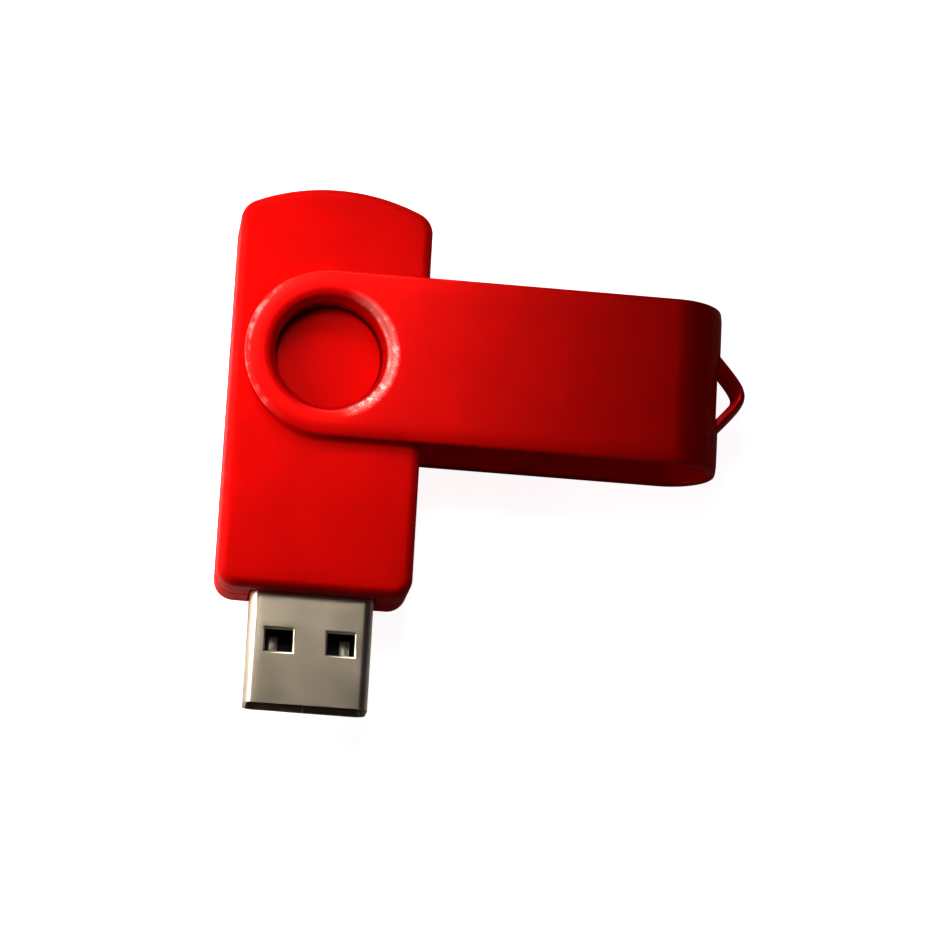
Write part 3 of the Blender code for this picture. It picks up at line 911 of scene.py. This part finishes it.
def hub_highlight_and_wear(surface, distance):
    """A pale band painted on the hub's roll towards the closed end as its highlight, with paler
    flecks that are partly wear and partly the highlight's speckle.
    """
    # Painted highlight: the crest band, on the side towards the closed end, is mixed pale where
    # the roll catches the light.
    crest = surface.band(
        distance, HOLE_RADIUS + 0.3 * MM, HOLE_RADIUS + 0.65 * MM,
        HOLE_RADIUS + 1.05 * MM, HOLE_RADIUS + 1.65 * MM)
    forward = surface.remap(surface.along("X"), 1.0 * MM, 4.6 * MM, smooth=True)
    highlight_band = surface.math("MULTIPLY", crest, forward)
    specks = surface.remap(surface.noise(1500, 5, 0.65), 0.47, 0.55)
    patches = surface.remap(surface.noise(300, 2), 0.28, 0.46)
    flecks = surface.math("MULTIPLY", surface.math("MULTIPLY", specks, patches), highlight_band)
    # Painted highlight: the whole band is lifted a third of the way to the pale colour, and the
    # flecks add wear on top.
    return surface.math("MAXIMUM", flecks, surface.math("MULTIPLY", highlight_band, 0.32))


def rim_highlight_and_scuffs(surface, distance):
    """Pale marks on the arm's outer rim, on the side away from the closed end: a painted
    highlight broken up by scuffs.
    """
    outer = surface.remap(
        distance, COVER_HALF - 0.65 * MM, COVER_HALF - 0.25 * MM, smooth=True)
    backward = surface.remap(surface.along("X"), -6.5 * MM, -3.5 * MM, 1.0, 0.0, True)
    scuffs = surface.remap(surface.noise(900, 4), 0.46, 0.66, 0.1, 0.7)
    # Painted highlight: the outer rim is mixed pale on the side facing the light, in
    # scuff-shaped patches.
    rub = surface.math("MULTIPLY", surface.math("MULTIPLY", outer, backward), scuffs)
    return surface.math("MULTIPLY", rub, 0.6)


def edge_nicks(surface, distance):
    """Faint nicks along the rounded edges, clear of the hub."""
    edge = surface.band(surface.tilt(), 0.1, 0.35, 0.6, 0.95)
    away = surface.remap(distance, HOLE_RADIUS + 2.0 * MM, HOLE_RADIUS + 2.5 * MM)
    nicks = surface.math("MULTIPLY", edge, surface.remap(surface.noise(2400, 4), 0.6, 0.7))
    return surface.math("MULTIPLY", surface.math("MULTIPLY", nicks, away), 0.25)


def cover_paint():
    """Satin red enamel, with painted highlights and wear on the roll and the rims, nicks on the
    edges, and painted shade darkening it inside the hub.
    """
    surface = Surface("red_cover_paint", (0.80, 0.003, 0.002, 1), 0.3, 0.3, 0.4)
    surface.set("Specular Tint", (1.0, 0.42, 0.38, 1))
    cloud = surface.remap(surface.noise(150, 3), 0.3, 0.7)
    red = surface.mix(cloud, (0.86, 0.002, 0.001, 1), (0.95, 0.003, 0.0015, 1))
    distance = surface.hub_distance()
    # Painted shade: the paint darkens by up to half just inside the hub's hole, where the recess
    # falls into shade.
    painted_hub_shade = surface.remap(
        distance, HOLE_RADIUS + 0.35 * MM, HOLE_RADIUS + 0.75 * MM, 0.5, 0.0, True)
    paint = surface.mix(painted_hub_shade, red, (0.16, 0.0006, 0.0004, 1))
    # The pale mix carries painted highlights on the roll and the rim as well as wear flecks and
    # edge nicks.
    pale_marks = surface.math(
        "MAXIMUM", hub_highlight_and_wear(surface, distance), edge_nicks(surface, distance))
    pale_marks = surface.math("MAXIMUM", pale_marks, rim_highlight_and_scuffs(surface, distance))
    surface.feed(surface.mix(pale_marks, paint, (0.98, 0.62, 0.57, 1)), "Base Color")
    rough = surface.remap(surface.noise(500, 3), 0.3, 0.7, 0.28, 0.34)
    surface.feed(surface.math("ADD", rough, surface.math("MULTIPLY", pale_marks, 0.12)), "Roughness")
    surface.bump(surface.noise(700, 2), 0.004 * MM, 0.25)
    surface.bump(surface.math("SUBTRACT", 1.0, pale_marks), 0.015 * MM, 0.5)
    return surface.material


def plug_nickel():
    """Warm satin nickel, faintly stained, with a few hairline insertion scuffs."""
    surface = Surface("satin_nickel", (0.78, 0.70, 0.58, 1), 0.3, 1.0)
    stain = surface.remap(surface.noise(180, 3), 0.3, 0.7)
    metal = surface.mix(stain, (0.90, 0.79, 0.62, 1), (0.99, 0.89, 0.72, 1))
    scuff = surface.remap(surface.noise(3000, 4, 0.6, (1, 0.04, 1)), 0.66, 0.8)
    scuff = surface.math("MULTIPLY", scuff, 0.2)
    surface.feed(surface.mix(scuff, metal, (0.9, 0.85, 0.76, 1)), "Base Color")
    surface.feed(surface.remap(surface.noise(400, 3), 0.3, 0.7, 0.30, 0.38), "Roughness")
    surface.bump(surface.noise(400, 2), 0.006 * MM, 0.2)
    surface.bump(surface.noise(5000, 2), 0.001 * MM, 0.5)
    return surface.material


def insert_plastic():
    """Matte black nylon with a fine grain and faint clouding."""
    surface = Surface("black_insert_plastic", (0.012, 0.012, 0.013, 1), 0.5)
    cloud = surface.remap(surface.noise(700, 4), 0.3, 0.7)
    black = surface.mix(cloud, (0.010, 0.010, 0.011, 1), (0.022, 0.021, 0.022, 1))
    surface.feed(black, "Base Color")
    surface.feed(surface.remap(surface.noise(1500, 3), 0.3, 0.7, 0.42, 0.6), "Roughness")
    surface.bump(surface.noise(5000, 2), 0.008 * MM, 0.6)
    return surface.material


def contact_gold():
    """Pale gold flash, rubbed brighter along the way the socket slides."""
    surface = Surface("gold_flash", (0.95, 0.86, 0.70, 1), 0.35, 1.0)
    rub = surface.remap(surface.noise(4000, 3, 0.6, (1, 0.04, 1)), 0.4, 0.65)
    gold = surface.mix(rub, (0.95, 0.86, 0.72, 1), (1.0, 0.96, 0.90, 1))
    surface.feed(gold, "Base Color")
    surface.feed(surface.remap(rub, 0, 1, 0.6, 0.45), "Roughness")
    surface.bump(surface.noise(6000, 2, 0.5, (1, 0.05, 1)), 0.003 * MM, 0.5)
    return surface.material


def board_laminate():
    """Green solder mask, lighter over raised copper areas."""
    surface = Surface("green_solder_mask", (0.012, 0.12, 0.045, 1), 0.3)
    voronoi = surface.add(
        "ShaderNodeTexVoronoi", feature="DISTANCE_TO_EDGE", distance="MANHATTAN")
    voronoi.inputs["Scale"].default_value = 650
    surface.link(surface.place, voronoi.inputs["Vector"])
    copper = surface.remap(voronoi.outputs["Distance"], 0.06, 0.1)
    green = surface.mix(copper, (0.008, 0.085, 0.03, 1), (0.015, 0.15, 0.055, 1))
    surface.feed(green, "Base Color")
    surface.feed(surface.remap(surface.noise(1200, 3), 0.3, 0.7, 0.22, 0.36), "Roughness")
    surface.bump(copper, 0.02 * MM, 0.6)
    return surface.material


def grainy(name, dark, light, roughness, metallic=0.0, scale=3500):
    """Small moulded, fired or drawn part with a fine grain of its own."""
    surface = Surface(name, dark, roughness, metallic)
    grain = surface.noise(scale, 3)
    surface.feed(surface.mix(surface.remap(grain, 0.35, 0.65), dark, light), "Base Color")
    cloud = surface.noise(scale / 4, 2)
    rough = surface.remap(cloud, 0.3, 0.7, roughness - 0.06, roughness + 0.08)
    surface.feed(rough, "Roughness")
    surface.bump(grain, 0.006 * MM, 0.5)
    return surface.material


def carry_over(finish, slot, *names):
    """Give carried-over CAD nodes their procedural finish."""
    for name in names:
        node = frame["nodes"][name]
        node.data.materials.clear()
        node.data.materials.append(finish)


def finish_inside_parts():
    carry_over(board_laminate(), "board_laminate", "circuit_board")
    resin = grainy("moulded_epoxy", (0.014, 0.014, 0.015, 1), (0.03, 0.03, 0.031, 1), 0.5)
    resistors = [f"resistor_{number}" for number in range(1, 5)]
    carry_over(resin, "chip_resin", "flash_memory", "controller_chip", *resistors)
    can = grainy("drawn_can", (0.5, 0.5, 0.49, 1), (0.66, 0.66, 0.64, 1), 0.3, 1.0, 1800)
    carry_over(can, "can_steel", "crystal")
    ferrite = grainy("fired_ferrite", (0.05, 0.05, 0.055, 1), (0.12, 0.12, 0.125, 1), 0.6)
    carry_over(ferrite, "bead_ceramic", "ferrite_bead")
    ceramic = grainy("tan_ceramic", (0.36, 0.22, 0.11, 1), (0.48, 0.32, 0.18, 1), 0.45)
    capacitors = [f"capacitor_{number}" for number in range(1, 5)]
    carry_over(ceramic, "capacitor_ceramic", *capacitors)


# ---------------------------------------------------------------- stage


def floor_paper(name, glow):
    """Nearly white paper, faintly clouded, with a glow of its own if it is seen."""
    surface = Surface(name + "_paper", (0.9, 0.9, 0.9, 1), 0.8, specular=0.1)
    shade = surface.remap(surface.noise(3, 2), 0.3, 0.7)
    white = surface.mix(shade, (0.88, 0.88, 0.88, 1), (0.92, 0.92, 0.92, 1))
    surface.feed(white, "Base Color")
    surface.set("Emission Color", (1, 1, 1, 1))
    surface.set("Emission Strength", glow)
    return surface.material


def make_floor():
    """Pale sheet that the camera sees, over one that bounces light and is reflected."""
    for name, glow, seen in (("floor", FLOOR_GLOW, True), ("bounce_sheet", 0.0, False)):
        builder = bmesh.new()
        bmesh.ops.create_grid(builder, x_segments=2, y_segments=2, size=FLOOR_HALF)
        sheet = new_piece(name, builder)
        sheet.data.materials.append(floor_paper(name, glow))
        sheet.location.z = cad_low.z if seen else cad_low.z - SHEET_GAP
        sheet.visible_camera = seen
        sheet.visible_shadow = not seen
        sheet.visible_glossy = not seen
        sheet.visible_diffuse = not seen


def softbox(name, place, aim, size, power, colour, spread=180):
    """Rectangular area light that faces a point near the pivot, with a grid if narrow."""
    data = bpy.data.lights.new(name, "AREA")
    data.shape = "RECTANGLE"
    data.size, data.size_y = size
    data.energy = power
    data.color = colour
    data.spread = radians(spread)
    light = bpy.data.objects.new(name, data)
    light.location = PIVOT + Vector(place)
    direction = PIVOT + Vector(aim) - light.location
    light.rotation_euler = direction.to_track_quat("-Z", "Y").to_euler()
    light.visible_camera = False
    bpy.context.scene.collection.objects.link(light)


def make_lights():
    """Low light close on the left, gridded ones over and behind the hub, weak fills."""
    white = (1.0, 0.99, 0.97)
    warm = (1.0, 0.96, 0.88)
    violet = (0.8, 0.7, 1.0)
    low_aim = (0, 0, 0.005)
    softbox("left_near", (-0.05, 0.006, 0.03), low_aim, (0.06, 0.03), 0.040, white)
    softbox("left_far", (-0.12, 0, 0.035), low_aim, (0.15, 0.05), 0.018, white)
    softbox(
        "hub_grid", (-0.02, 0.05, 0.12), (0, -0.003, 0.01), (0.05, 0.04), 0.0024, white,
        spread=32)
    softbox(
        "back_grid", (-0.01, 0.08, 0.07), (-0.005, -0.005, 0.01), (0.05, 0.03), 0.0034, white,
        spread=40)
    softbox("overhead", (-0.05, 0.16, 0.40), low_aim, (0.2, 0.15), 0.112, warm)
    softbox("right_fill", (0.12, -0.05, 0.03), (0, -0.01, 0.005), (0.08, 0.04), 0.003, violet)
    world = bpy.data.worlds.new("room")
    world.use_nodes = True
    background = world.node_tree.nodes["Background"]
    background.inputs["Color"].default_value = (*violet, 1)
    background.inputs["Strength"].default_value = 0.03
    bpy.context.scene.world = world


def make_camera():
    """Close above the plug's side, a little to its left, as one looks at a desk."""
    data = bpy.data.cameras.new("camera")
    data.sensor_width = SENSOR_WIDTH
    data.lens = LENS
    data.clip_start = 0.01
    data.clip_end = 20.0
    camera = bpy.data.objects.new("camera", data)
    camera.location = PIVOT + CAMERA_PLACE
    camera.rotation_euler = [radians(turn) for turn in CAMERA_TURN]
    bpy.context.scene.collection.objects.link(camera)
    bpy.context.scene.camera = camera


def make_object():
    make_cover(cover_paint())
    plastic = body_plastic()
    make_shell("body_upper_half", "upper_shell", plastic, False)
    make_shell("body_lower_half", "lower_shell", plastic, True)
    make_plug(plug_nickel())
    make_tongue(insert_plastic())
    gold = contact_gold()
    for node in ("contact_power", "contact_data_minus", "contact_data_plus", "contact_ground"):
        make_contact(node, gold)
    finish_inside_parts()


make_object()
make_floor()
make_lights()
make_camera()
bpy.context.scene.view_settings.view_transform = "Standard"
bpy.context.scene.view_settings.gamma = VIEW_GAMMA
